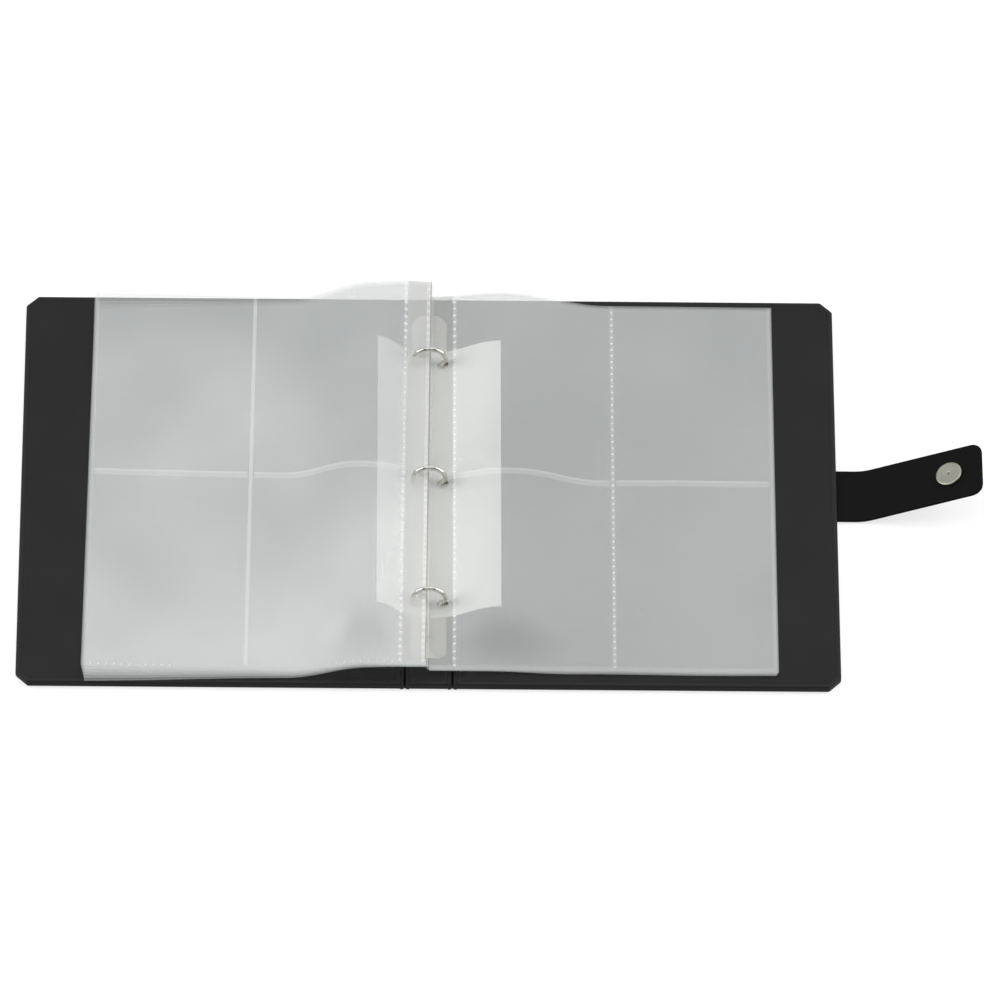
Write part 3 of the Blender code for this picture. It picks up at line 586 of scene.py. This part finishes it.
def panel_skin(name, x0, x1, cut_low, cut_high, recesses=()):
    """Leatherette skin of one panel: round edges, a shallow bed for the lining, recesses underneath."""
    quarter = [math.pi / 2 * k / EDGE_STEPS for k in range(EDGE_STEPS + 1)]
    # Each row of the profile is (inset, height, wear).
    profile = []
    for angle in quarter:
        inset = UNDER_ROUND * (1 - math.sin(angle))
        profile.append((inset, UNDER_ROUND * (1 - math.cos(angle)), 0.5 * math.cos(angle)))
    for angle in quarter:
        top = PANEL_THICK - UPPER_ROUND * (1 - math.sin(angle))
        profile.append((UPPER_ROUND * (1 - math.cos(angle)), top, math.sin(angle)))
    profile.append((LIP - 1.2, PANEL_THICK, 0.4))
    profile.append((LIP - LIP_SOFT, PANEL_THICK, 0.0))
    profile.append((LIP, PANEL_THICK - LIP_SOFT, 0.0))
    profile.append((LIP, PANEL_THICK - LINING_THICK, 0.0))
    points = []
    faces = []
    rows = []
    wear = []
    for inset, z, rub in profile:
        row = [(x, y, z) for x, y in panel_outline(x0, x1, inset, cut_low, cut_high)]
        rows.append(row)
        wear += [rub] * len(row)
    starts = loft(rows, points, faces)
    count = len(rows[0])
    faces.append(tuple(starts[-1] + i for i in range(count)))
    outline = panel_outline(x0, x1, UNDER_ROUND, cut_low, cut_high)
    border = panel_outline(x0, x1, UNDER_ROUND + SKIN_BORDER, cut_low, cut_high)
    rims = [circle(x, y, radius + RECESS_FLARE, RECESS_SIDES) for x, y, radius in recesses]
    for x, y, radius in recesses:
        border += circle(x, y, radius + SKIN_BORDER, RECESS_SIDES)
    flat, triangles = flat_mesh(outline, rims, border)
    first = len(points)
    points += [(x, y, 0.0) for x, y in flat]
    wear += [0.0] * len(flat)
    faces += [tuple(first + i for i in t) for t in triangles]
    for x, y, radius in recesses:
        steps = [(radius + RECESS_FLARE, 0.0), (radius + 0.05, 0.12), (radius, 0.3), (radius, WRAP_THICK)]
        made = [[(px, py, z) for px, py in circle(x, y, r, RECESS_SIDES)] for r, z in steps]
        last = loft(made, points, faces)[-1]
        wear += [0.5] * (len(made) * RECESS_SIDES)
        faces.append(tuple(last + i for i in range(RECESS_SIDES)))
    return add_piece(name, points, faces, [LEATHER], sharp=50.0, wear=wear)


def panel_lining(name, x0, x1, cut_low, cut_high, holes=()):
    """Lining sheet laid in the bed of the skin, with its upper edge softened."""
    low = PANEL_THICK - LINING_THICK + LINING_CLEAR
    top = PANEL_THICK
    edge = LIP + LIP_SOFT
    profile = ((edge, low), (edge, top - 0.05), (LIP + 0.1, top), (LIP + 1.5, top))
    points = []
    faces = []
    rows = [[(x, y, z) for x, y in panel_outline(x0, x1, inset, cut_low, cut_high)] for inset, z in profile]
    loft(rows, points, faces)
    rims = [circle(x, y, radius, HOLE_SIDES) for x, y, radius in holes]
    for inset, z in (profile[0], profile[-1]):
        flat, triangles = flat_mesh(panel_outline(x0, x1, inset, cut_low, cut_high), rims)
        first = len(points)
        points += [(x, y, z) for x, y in flat]
        faces += [tuple(first + i for i in t) for t in triangles]
    for rim in rims:
        loft([[(x, y, z) for x, y in rim] for z in (low, top)], points, faces)
    return add_piece(name, points, faces, [LINING], sharp=50.0)


def hinge_skin(name, centre):
    """Folding strip between spine and cover: flush with both panels, creased along the fold."""
    reach = HINGE_GAP / 2 + HINGE_SET_BACK - HINGE_CLEAR
    across = [-reach] + [-x for x in HINGE_MARKS]
    across = across + [0.0] + [-x for x in across[::-1]]
    upper = []
    lower = []
    for x in across:
        crease = max(1 - abs(x) / CREASE_HALF, 0.0) ** CREASE_POWER
        dip = max(1 - abs(x) / DIP_HALF, 0.0) ** CREASE_POWER
        upper.append((centre + x, PANEL_THICK - HINGE_SUNK - CREASE_DEPTH * crease))
        lower.append((centre + x, HINGE_SUNK + DIP_DEPTH * dip))
    section = upper + lower[::-1]
    half = COVER_HEIGHT / 2 - HINGE_SHORT
    ys = [half * (2 * k / HINGE_STEPS - 1) for k in range(1, HINGE_STEPS)]
    ys = [-half, -half + HINGE_END_SOFT] + ys + [half - HINGE_END_SOFT, half]
    rows = []
    for y in ys:
        shrink = HINGE_END_SHRINK if abs(y) >= half else 0.0
        rows.append([(x, y, HINGE_Z + (z - HINGE_Z) * (1 - shrink)) for x, z in section])
    return add_piece(name, *tube(rows), [LEATHER], sharp=50.0)


def turned(levels, sides):
    """Points and faces of a turned piece about Z from (radius, z) levels, closed at both ends."""
    return tube([[(x, y, z) for x, y in circle(0.0, 0.0, radius, sides)] for radius, z in levels])


def ring_wire(name, side, y):
    """Half ring of round wire from its foot on the blade to the joint at the top."""
    leave = math.asin(RING_DROP / RING_RADIUS)
    leave_x = RING_RADIUS * math.cos(leave)
    leave_z = RING_Z - RING_DROP
    foot_z = BLADE_TOP + FOOT_LIFT
    foot_x = leave_x - (leave_z - foot_z) * math.tan(leave)
    path = []
    for k in range(LEG_STEPS):
        share = k / LEG_STEPS
        x = foot_x + (leave_x - foot_x) * share
        path.append((x, foot_z + (leave_z - foot_z) * share, math.pi / 2 - leave))
    last = math.pi / 2 - JOINT_GAP / RING_RADIUS
    for k in range(ARC_STEPS + 1):
        angle = -leave + (last + leave) * k / ARC_STEPS
        x = RING_RADIUS * math.cos(angle)
        path.append((x, RING_Z + RING_RADIUS * math.sin(angle), angle + math.pi / 2))
    x, z, heading = path.pop()
    sections = [(*step, WIRE_RADIUS) for step in path]
    for back, share in CUP if side > 0 else TONGUE:
        sections.append((x + back, z, heading, WIRE_RADIUS * share))
    rows = []
    for x, z, heading, radius in sections:
        row = []
        for i in range(WIRE_SIDES):
            angle = 2 * math.pi * i / WIRE_SIDES
            across = radius * math.cos(angle)
            row_x = side * (x - across * math.sin(heading))
            row.append((row_x, y + radius * math.sin(angle), z + across * math.cos(heading)))
        rows.append(row)
    return add_piece(name, *tube(rows), [NICKEL], sharp=35.0)


def ease(share):
    """Smooth step from 0 to 1."""
    return (1 - math.cos(math.pi * min(max(share, 0.0), 1.0))) / 2


def ease_over(value, span):
    """Smooth step over a span of (start, length)."""
    start, length = span
    return ease((value - start) / length)


def between(marks, d):
    """Height at distance d from marks of (distance, height), easing from one mark to the next."""
    if d <= marks[0][0]:
        return marks[0][1]
    for (a, low), (b, high) in zip(marks, marks[1:]):
        if d <= b:
            return low + (high - low) * ease((d - a) / (b - a))
    return marks[-1][1]


def leaf_marks(pile, i, end):
    """Section of leaf i between the rings (end 0) or at an end (-1 near, 1 far)."""
    marks, flat_from, lift = pile.sections[end]
    section = [(d, low + rise * i) for d, low, rise in marks]
    return section + [(flat_from, FLAT_LOW + i * LEAF_PITCH + lift)]


def leaf_z(pile, i, d, y):
    """Height of leaf i at distance d and depth y: its section, soft waves and a lifted far corner."""
    near_end = ease((-y - LIFTER_HALF) / END_FALL)
    far_end = ease((y - LIFTER_HALF) / END_FALL)
    height = between(leaf_marks(pile, i, 0), d)
    if near_end > 0:
        height += near_end * (between(leaf_marks(pile, i, -1), d) - height)
    if far_end > 0:
        height += far_end * (between(leaf_marks(pile, i, 1), d) - height)
    wave = math.sin(d / WAVE_ACROSS + 0.7 * pile.side + 0.6) * math.sin(y / WAVE_ALONG + 0.9)
    ripple = math.sin((d + 0.6 * y) / RIPPLE_LENGTH)
    swell = WAVE * (1 + wave) + RIPPLE * (1 + ripple)
    height += swell * (0.25 + 0.75 * ease_over(d, LOOSE))
    lift = pile.corner_lift * i / (pile.count - 1)
    return height + lift * ease_over(d, CORNER_ACROSS) * ease_over(y, CORNER_ALONG)


def slot_loop(slot, y, skew=0.0):
    """Slot outline with round ends, in leaf distance and depth, from (distance, width, length, shift)."""
    at, width, length, shift = slot
    radius = width / 2
    loop = []
    for end in (1, -1):
        for k in range(SLOT_STEPS + 1):
            angle = math.pi * k / SLOT_STEPS + (0.0 if end == 1 else math.pi)
            depth = y + shift + end * (length / 2 - radius) + radius * math.sin(angle)
            loop.append((at + radius * math.cos(angle) + skew * depth, depth))
    return loop


def near_slot(slot, d, y, room):
    """True for a point within some room of one of the ring slots."""
    at, width, length, shift = slot
    if abs(d - at) >= width / 2 + room:
        return False
    return any(abs(y - shift - y_ring) < length / 2 + room for y_ring in RING_YS)


def spaced(low, high, step):
    """Evenly spaced values from low to high, about a step apart."""
    count = max(int(round((high - low) / step)), 1)
    return [low + (high - low) * k / count for k in range(count + 1)]


def edge_loop(d0, d1, y0, y1, step):
    """Rectangle as a closed loop with points along its sides."""
    loop = [(d, y0) for d in spaced(d0, d1, step)[:-1]]
    loop += [(d1, y) for y in spaced(y0, y1, step)[:-1]]
    loop += [(d, y1) for d in spaced(d1, d0, -step)[:-1]]
    loop += [(d0, y) for y in spaced(y1, y0, -step)[:-1]]
    return loop


def pocket_seam(pile, d):
    """Depth of the seam between near and far pockets; it is drawn in where the leaf rides over the lifter."""
    y, dip, crest = pile.pocket_seam
    return y - dip * math.exp(-(((d - crest) / POCKET_DRAW) ** 2))


def weld_places(pile, inner, near, far):
    """Weld dots of a top leaf as (distance, depth, size): two rows, and the left leaf's near edge."""
    inner_seam, middle_seam, outer = pile.seams
    second = inner + INNER_BAND / 2 + BAND_LINE if pile is LEFT else middle_seam
    places = []
    for d, size in zip((inner_seam, second), pile.weld_dots):
        for y in np.arange(near + WELD_NEAR, far - WELD_FAR, WELD_PITCH):
            faint = d < middle_seam and pile.faint_from < y < LIFTER_HALF
            places.append((d, y, FAINT_SHARE * size if faint else size))
    if pile is LEFT:
        marks = np.arange(inner_seam + WELD_PITCH, outer - POCKET_OUTER, WELD_PITCH)
        low, high = EDGE_DOT_GAP
        places += [(d, near + EDGE_DOT_IN, EDGE_DOT) for d in marks if d < low or d > high]
    return places


def pocket_leaf(name, pile, i, finishes):
    """Pocket leaf with ring slots and a welded edge; the top leaf also shows seams, mouths and weld dots."""
    side = pile.side
    seams = pile.seams
    under = pile.count - 1 - i
    top = under == 0
    slot = pile.slots[1 if top else 0]
    near = pile.ends[0] - pile.near_fan * under
    far = pile.ends[1] - FAR_FAN * under
    inner = PROUD_EDGE if i in pile.proud else INNER_EDGE
    outer = seams[2] - OUTER_FAN * under
    turn = pile.turns[0] + (pile.turns[1] - pile.turns[0]) * i / (pile.count - 1)
    band = EDGE_BAND if top else THIN_EDGE
    outline = edge_loop(inner, outer, near, far, LOOP_STEP)
    lines = [edge_loop(inner + THIN_EDGE, outer - band, near + band, far - THIN_EDGE, LOOP_STEP)]
    pockets = ()
    if top:
        reach = (near + band + SEAM_NEAR, far - SEAM_FAR, LOOP_STEP)
        lines += [edge_loop(d - WELD_HALF, d + WELD_HALF, *reach) for d in seams[:2]]
        lines.append(edge_loop(inner + INNER_BAND, inner + INNER_BAND + BAND_LINE, *reach))
        first_pocket = (seams[0] + POCKET_INSET, seams[1] - POCKET_INSET)
        pockets = (first_pocket, (seams[1] + POCKET_INSET, seams[2] - POCKET_OUTER))
    for start, stop in pockets:
        marks = spaced(start, stop, POCKET_STEP)
        shifts = (POCKET_WELD_HALF, -POCKET_WELD_HALF, -POCKET_WELD_HALF - POCKET_LIP)
        rows = [[(d, pocket_seam(pile, d) + shift) for d in marks] for shift in shifts]
        lines += [rows[0] + rows[1][::-1], rows[1] + rows[2][::-1]]
    slots = [slot_loop(slot, y, pile.skew) for y in RING_YS]
    # The mesh is finer over the arch than where the leaf lies flat.
    across = []
    start = inner + ARCH_GRID[1]
    for stop, gap in (ARCH_GRID, SLOPE_GRID, (outer - FLAT_MARGIN, FLAT_STEP)):
        across += list(np.arange(start, stop, gap))
        start = stop
    along = spaced(-ALONG_HALF, ALONG_HALF, ALONG_STEP)
    extra = [(d, y) for d in across for y in along if not near_slot(slot, d, y, SLOT_ROOM)]
    flat, triangles = flat_mesh(outline, slots, extra, lines)

    def place(d, y, lift=0.0):
        """Point of the leaf for a distance and depth on it."""
        y_turned = y + turn * max(d - seams[0], 0.0)
        return (side * d + pile.skew * y, y_turned, leaf_z(pile, i, d, y_turned) + lift)

    def finish_at(d, y):
        """Which of the leaf's finishes a face gets from its middle."""
        if min(outer - d, y - near) < band - 0.05 or far - y < THIN_EDGE - 0.05:
            return ON_EDGE
        if not top:
            return ON_FILM
        if abs(d - seams[0]) < WELD_HALF:
            return ON_MOUTH
        if abs(d - seams[1]) < WELD_HALF:
            return ON_WELD if pile is LEFT else ON_MOUTH
        if any(start < d < stop for start, stop in pockets):
            below = pocket_seam(pile, d) + POCKET_WELD_HALF - y
            if 0 < below < 2 * POCKET_WELD_HALF:
                return ON_WELD
            if 0 < below < 2 * POCKET_WELD_HALF + POCKET_LIP:
                return ON_MOUTH
        if d >= seams[0]:
            return ON_FILM
        # A top leaf's innermost strip gets the painted shadow finish.
        if d < inner + THIN_EDGE:
            return ON_PAINTED_SHADOW
        # On the right pile the binding finish also carries that painted shadow.
        return ON_BAND if pile is LEFT and d < inner + INNER_BAND else ON_BINDING

    def face(loop, pick):
        """Add a face with its finish, turned so that it looks up on either side."""
        faces.append(tuple(loop) if side > 0 else tuple(loop)[::-1])
        picks.append(pick)

    points = [place(d, y) for d, y in flat]
    faces = []
    picks = []
    for t in triangles:
        face(t, finish_at(sum(flat[k][0] for k in t) / 3, sum(flat[k][1] for k in t) / 3))
    for d, y, size in weld_places(pile, inner, near, far) if top else ():
        first = len(points)
        for radius, lift in ((size, DOT_LIFT), (DOT_TOP * size, DOT_LIFT + DOT_RISE * size)):
            for k in range(DOT_SIDES):
                angle = 2 * math.pi * (k + 0.5) / DOT_SIDES
                points.append(place(d + radius * math.cos(angle), y + radius * math.sin(angle), lift))
        upper = first + DOT_SIDES
        for k in range(DOT_SIDES):
            j = (k + 1) % DOT_SIDES
            face((first + k, first + j, upper + j, upper + k), ON_DOT)
        face([upper + k for k in range(DOT_SIDES)], ON_DOT)
    return add_piece(name, points, faces, finishes, picks=picks, sharp=60.0, solid=False)


def sheet_lifter(name, pile):
    """Stiff white sheet on the rings whose outer wing stands up under the leaves."""
    reach = pile.lifter_reach
    outline = edge_loop(LIFTER_INNER, reach, -LIFTER_HALF, LIFTER_HALF, LIFTER_LOOP_STEP)
    slots = [slot_loop(LIFTER_SLOT, y) for y in RING_YS]
    half = LIFTER_HALF - LIFTER_LOOP_STEP
    along = spaced(-half, half, LIFTER_ALONG_STEP)
    extra = []
    for d in np.arange(LIFTER_INNER + LIFTER_STEP, reach - 2, LIFTER_STEP):
        extra += [(d, y) for y in along if not near_slot(LIFTER_SLOT, d, y, LIFTER_SLOT_ROOM)]
    flat, triangles = flat_mesh(outline, slots, extra)
    heights = [between(leaf_marks(pile, 0, 0), d) - LIFTER_BELOW for d, _ in flat]
    points = [(pile.side * d, y, z) for (d, y), z in zip(flat, heights)]
    points += [(pile.side * d, y, z - LIFTER_THICK) for (d, y), z in zip(flat, heights)]
    count = len(flat)
    faces = [tuple(t) for t in triangles] + [tuple(count + k for k in t[::-1]) for t in triangles]
    # Edges that belong to one triangle only are the rims, which get a wall.
    borders = {}
    for t in triangles:
        for a, b in zip(t, t[1:] + t[:1]):
            key = (min(a, b), max(a, b))
            borders[key] = None if key in borders else (a, b)
    for pair in borders.values():
        if pair is not None:
            a, b = pair
            faces.append((b, a, count + a, count + b))
    return add_piece(name, points, faces, [WHITE], sharp=45.0)


def strap_point(along):
    """Middle line of the strap: (x, z, slope) at a length measured from the fore edge."""
    bend = STRAP_BEND * STRAP_RISE
    slope = min(max(along - STRAP_FLAT, 0.0) / STRAP_BEND, STRAP_RISE)
    x = FORE_EDGE + min(along, STRAP_FLAT) + STRAP_BEND * math.sin(slope)
    z = STRAP_Z + STRAP_BEND * (1 - math.cos(slope))
    straight = max(along - STRAP_FLAT - bend, 0.0)
    return x + straight * math.cos(slope), z + straight * math.sin(slope), slope


def strap_section(along):
    """Closed ring of points round the strap: flat faces, softly rounded edges, rounded tip corners."""
    x, z, slope = strap_point(along)
    left = STRAP_LENGTH - along
    wide = STRAP_WIDTH / 2
    if left < STRAP_TIP_ROUND:
        wide -= STRAP_TIP_ROUND - math.sqrt(max(STRAP_TIP_ROUND**2 - (STRAP_TIP_ROUND - left) ** 2, 0.0))
    half = STRAP_THICK / 2
    thin = half
    if left < half:
        thin = math.sqrt(max(half * half - (half - left) ** 2, 0.05))
    ring = []
    for side in (1, -1):
        for k in range(STRAP_EDGE_STEPS + 1):
            angle = math.pi / 2 - math.pi * k / STRAP_EDGE_STEPS
            ring.append((side * (wide - half + half * math.cos(angle)), side * thin * math.sin(angle)))
        for share in (0.5, 0.0, -0.5):
            ring.append((side * share * (wide - half), -side * thin))
    return [(x - up * math.sin(slope), across, z + up * math.cos(slope)) for across, up in ring]


def strap_piece(name, marks):
    """Length of strap from the first mark to the last, closed at both ends."""
    rows = [strap_section(mark) for mark in marks]
    return add_piece(name, *tube(rows), [SHADED_STRAP_SKIN], sharp=50.0)


def set_on_strap(piece, along, lift):
    """Set a piece made about Z on the strap, a lift above its middle line."""
    x, z, slope = strap_point(along)
    turn = Matrix.Rotation(-slope, 4, "Y")
    shift = Vector((x - lift * math.sin(slope), 0.0, z + lift * math.cos(slope))) * MM
    piece.data.transform(Matrix.Translation(shift) @ turn)


def keep_finish(names, finish):
    """Give CAD nodes that stay in sight, or lie inside, their own node material."""
    for name in names:
        slots = nodes[name].data.materials
        slots.clear()
        slots.append(finish)


def dress_case():
    """Skins and linings of the three panels, the two folding strips and the keeper in the front cover."""
    gap = HINGE_GAP / 2 + HINGE_SET_BACK
    keeper_recess = [(KEEPER_X, 0.0, SNAP_RADIUS + KEEPER_ROOM)]
    rivet_recesses = [(0.0, y, RIVET_RECESS) for y in (-RIVET_Y, RIVET_Y)]
    rivet_holes = [(0.0, y, RIVET_HOLE) for y in (-RIVET_Y, RIVET_Y)]
    spans = {
        "front_cover": (-FORE_EDGE, -HINGE_X - gap, True, False, keeper_recess, []),
        "back_cover": (HINGE_X + gap, FORE_EDGE, False, True, [], []),
        "spine": (-HINGE_X + gap, HINGE_X - gap, False, False, rivet_recesses, rivet_holes),
    }
    for stem, (x0, x1, cut_low, cut_high, recesses, holes) in spans.items():
        skin = panel_skin(stem + "_skin", x0, x1, cut_low, cut_high, recesses)
        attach(skin, stem)
        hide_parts(stem + "_wrap")
        sheet = panel_lining(stem + "_inside", x0, x1, cut_low, cut_high, holes)
        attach(sheet, stem)
        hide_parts(stem + "_lining")
        keep_finish([stem + "_pad"], FOAM)
        keep_finish([stem + "_board"], BOARD)
    for stem, side in (("front", -1), ("back", 1)):
        centre = side * HINGE_X
        strip = hinge_skin(stem + "_hinge_skin", centre)
        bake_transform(strip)
        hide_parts(stem + "_hinge_roll")
    # The keeper is turned from its inner edge over the rim to the dimple in its outer face: (radius, height).
    levels = [(8.6, 0.75), (SNAP_RADIUS, 0.6), (SNAP_RADIUS, 0.3), (8.75, 0.12), (8.2, 0.05)]
    levels += [(6.4, 0.05), (6.1, 0.2), (1.6, 0.2), (1.2, 0.45)]
    disc = add_piece("cover_keeper_disc", *turned(levels, KEEPER_SIDES), [SNAP])
    disc.data.transform(Matrix.Translation((KEEPER_X * MM, 0.0, 0.0)))
    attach(disc, "front_cover")
    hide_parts("cover_keeper")


def dress_rings():
    """Wire half rings, and finishes for the plate, blades and rivets."""
    keep_finish(["left_blade", "right_blade", "rivet_near", "rivet_far"], NICKEL)
    keep_finish(["ring_plate"], PLATE)
    for word, side in (("left", -1), ("right", 1)):
        for place, y in zip(("near", "middle", "far"), RING_YS):
            wire = ring_wire(word + "_wire_" + place, side, y)
            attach(wire, word + "_rings")
            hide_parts(word + "_ring_" + place)


def press_flat(piece):
    """Give a piece of a pile its own copy of its mesh."""
    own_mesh(piece)


def dress_leaves():
    """Pocket leaves and lifters, each hung on the body of its pile, top leaf or lifter, with its own mesh."""
    for word, pile, finish, binding in (
        ("left", LEFT, LEFT_FILM, LEFT_BINDING),
        ("right", RIGHT, RIGHT_FILM, RIGHT_BINDING_WITH_SHADOW),
    ):
        for i in range(pile.count):
            top = i == pile.count - 1
            finishes = [finish, LEAF_EDGE]
            if top:
                finishes += [WELD, MOUTH, binding, PAINTED_SHADOW_EDGE, WELD_DOT, BAND]
            leaf = pocket_leaf(f"{word}_pocket_leaf_{i + 1}", pile, i, finishes)
            leaf.visible_shadow = False
            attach(leaf, word + ("_top_leaf" if top else "_leaves"))
            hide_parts(f"{word}_leaf_{i + 1}")
            if top:
                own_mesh(leaf)
            else:
                press_flat(leaf)
    for word, pile in (("front", LEFT), ("rear", RIGHT)):
        lifter = sheet_lifter(word + "_lifter_sheet", pile)
        lifter.visible_shadow = False
        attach(lifter, word + "_lifter")
        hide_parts(word + "_sheet_lifter")
        press_flat(lifter)


def dress_strap():
    """Closing strap in two pieces that meet between its folds, and the snap on its tip."""
    keep_finish(["strap_anchor"], SHADED_STRAP_SKIN)
    half = STRAP_THICK / 2
    # The marks lie closest round the folds and on the rounded tip.
    root_marks = [STRAP_ROOT] + spaced(*ROOT_FINE, 0.5) + spaced(ROOT_FINE[1], STRAP_SPLIT, 1.5)[1:]
    root = strap_piece("strap_root", root_marks)
    fine_from, fine_to = FOLD_FINE
    tip_marks = spaced(STRAP_SPLIT, fine_from, 1.0) + spaced(fine_from, fine_to, 0.5)[1:]
    tip_marks += spaced(fine_to, STRAP_LENGTH - STRAP_TIP_ROUND, 3.0)[1:]
    for k in range(1, STRAP_TIP_STEPS):
        tip_marks.append(STRAP_LENGTH - STRAP_TIP_ROUND * math.cos(math.pi / 2 * k / STRAP_TIP_STEPS))
    tip_marks.append(STRAP_LENGTH - half * 0.03)
    tip = strap_piece("strap_end", sorted(tip_marks))
    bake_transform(root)
    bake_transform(tip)
    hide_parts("strap_bridge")
    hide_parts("strap_tip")
    # The snap is turned from its stem over the rim to the dimple in its face: (radius, height).
    top = SNAP_TOP
    levels = [(4.0, -0.6), (4.0, 0.1), (8.6, 0.1), (SNAP_RADIUS, 0.4), (SNAP_RADIUS, top - 0.6)]
    levels += [(8.85, top - 0.25), (8.4, top - 0.05), (7.9, top), (7.2, top), (6.9, top - 0.06)]
    levels += [(6.6, top - 0.06), (1.5, top - 0.02), (1.15, top - 0.05), (0.85, top - 0.3), (0.8, top - 0.9)]
    snap = add_piece("snap_button", *turned(levels, SNAP_SIDES), [SNAP], sharp=40.0)
    set_on_strap(snap, SNAP_AT, half)
    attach(snap, "strap_tip")
    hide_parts("snap_disc")


def place_camera():
    """Camera at the photograph's viewing angle, for a square frame."""
    azimuth = math.radians(1.236)
    height = math.radians(52.503)
    roll = math.radians(1.443)
    distance = 7.323
    target = Vector((0.0419, 0.0028, 0.0))
    level = math.cos(height)
    back = Vector((-math.sin(azimuth) * level, -math.cos(azimuth) * level, math.sin(height)))
    right = (-back).cross(Vector((0, 0, 1))).normalized()
    up = right.cross(-back)
    across = right * math.cos(roll) + up * math.sin(roll)
    above = up * math.cos(roll) - right * math.sin(roll)
    data = bpy.data.cameras.new("camera")
    data.lens = 403.4
    data.sensor_width = 36.0
    data.clip_start = 0.1
    data.clip_end = 60.0
    camera = bpy.data.objects.new("camera", data)
    facing = Matrix((across, above, back)).transposed().to_4x4()
    camera.matrix_world = Matrix.Translation(target + back * distance) @ facing
    bpy.context.scene.collection.objects.link(camera)
    bpy.context.scene.camera = camera


def add_lamp(name, place, size, power):
    """Soft box that looks at the middle of the album."""
    data = bpy.data.lights.new(name, "AREA")
    data.shape = "RECTANGLE"
    data.size, data.size_y = size
    data.energy = power
    lamp = bpy.data.objects.new(name, data)
    lamp.location = place
    lamp.rotation_mode = "QUATERNION"
    lamp.rotation_quaternion = (Vector() - Vector(place)).to_track_quat("-Z", "Y")
    bpy.context.scene.collection.objects.link(lamp)


def glow(finish, strength):
    """Light a stage surface up as the eye, metal and film see it, and not as a lamp on the object."""
    tree = finish.node_tree
    shader = tree.nodes["Principled BSDF"]
    path = add_node(tree, "ShaderNodeLightPath")
    seen = path.outputs["Is Camera Ray"]
    for other in ("Is Glossy Ray", "Is Transmission Ray"):
        joined = add_node(tree, "ShaderNodeMath", operation="MAXIMUM")
        tree.links.new(seen, joined.inputs[0])
        tree.links.new(path.outputs[other], joined.inputs[1])
        seen = joined.outputs[0]
    shader.inputs["Emission Color"].default_value = (1.0, 1.0, 1.0, 1.0)
    tree.links.new(spread(tree, seen, 0.0, strength), shader.inputs["Emission Strength"])


def set_stage():
    """White floor, a dim sky with a pale horizon and a bright patch high behind, and four soft boxes."""
    corners = ((-1, -1), (1, -1), (1, 1), (-1, 1))
    points = [(x * FLOOR_HALF, y * FLOOR_HALF, FLOOR_Z) for x, y in corners]
    floor = add_piece("floor", points, [(0, 1, 2, 3)], [FLOOR], solid=False)
    glow(FLOOR, FLOOR_GLOW)
    world = bpy.data.worlds.new("studio")
    bpy.context.scene.world = world
    world.use_nodes = True
    tree = world.node_tree
    sky = tree.nodes["Background"]
    direction = add_node(tree, "ShaderNodeTexCoord").outputs["Generated"]
    parts = add_node(tree, "ShaderNodeSeparateXYZ")
    tree.links.new(direction, parts.inputs["Vector"])
    horizon = ramp(tree, parts.outputs["Z"], grey(1.0), grey(0.05), 0.05, 0.12)
    towards = add_node(tree, "ShaderNodeVectorMath", operation="DOT_PRODUCT")
    tree.links.new(direction, towards.inputs[0])
    towards.inputs[1].default_value = (0.0, 0.5, 0.87)
    patch = ramp(tree, towards.outputs["Value"], grey(0.0), grey(1.0), 0.5, 0.85)
    tone = add_node(tree, "ShaderNodeMix", data_type="RGBA", blend_type="LIGHTEN")
    tone.inputs[0].default_value = 1.0
    tree.links.new(horizon, tone.inputs[6])
    tree.links.new(patch, tone.inputs[7])
    tree.links.new(tone.outputs[2], sky.inputs["Color"])
    add_lamp("top", (0.0, 0.4, 2.2), (2.0, 1.6), 7.0)
    add_lamp("front", (0.0, -2.0, 1.4), (1.6, 1.0), 4.0)
    add_lamp("left_side", (-2.0, 0.0, 1.05), (1.4, 2.0), 40.0)
    add_lamp("right_side", (2.0, 0.0, 1.05), (1.4, 2.0), 40.0)
    bpy.context.scene.view_settings.view_transform = "Standard"


place_camera()
set_stage()
dress_case()
dress_rings()
dress_leaves()
dress_strap()
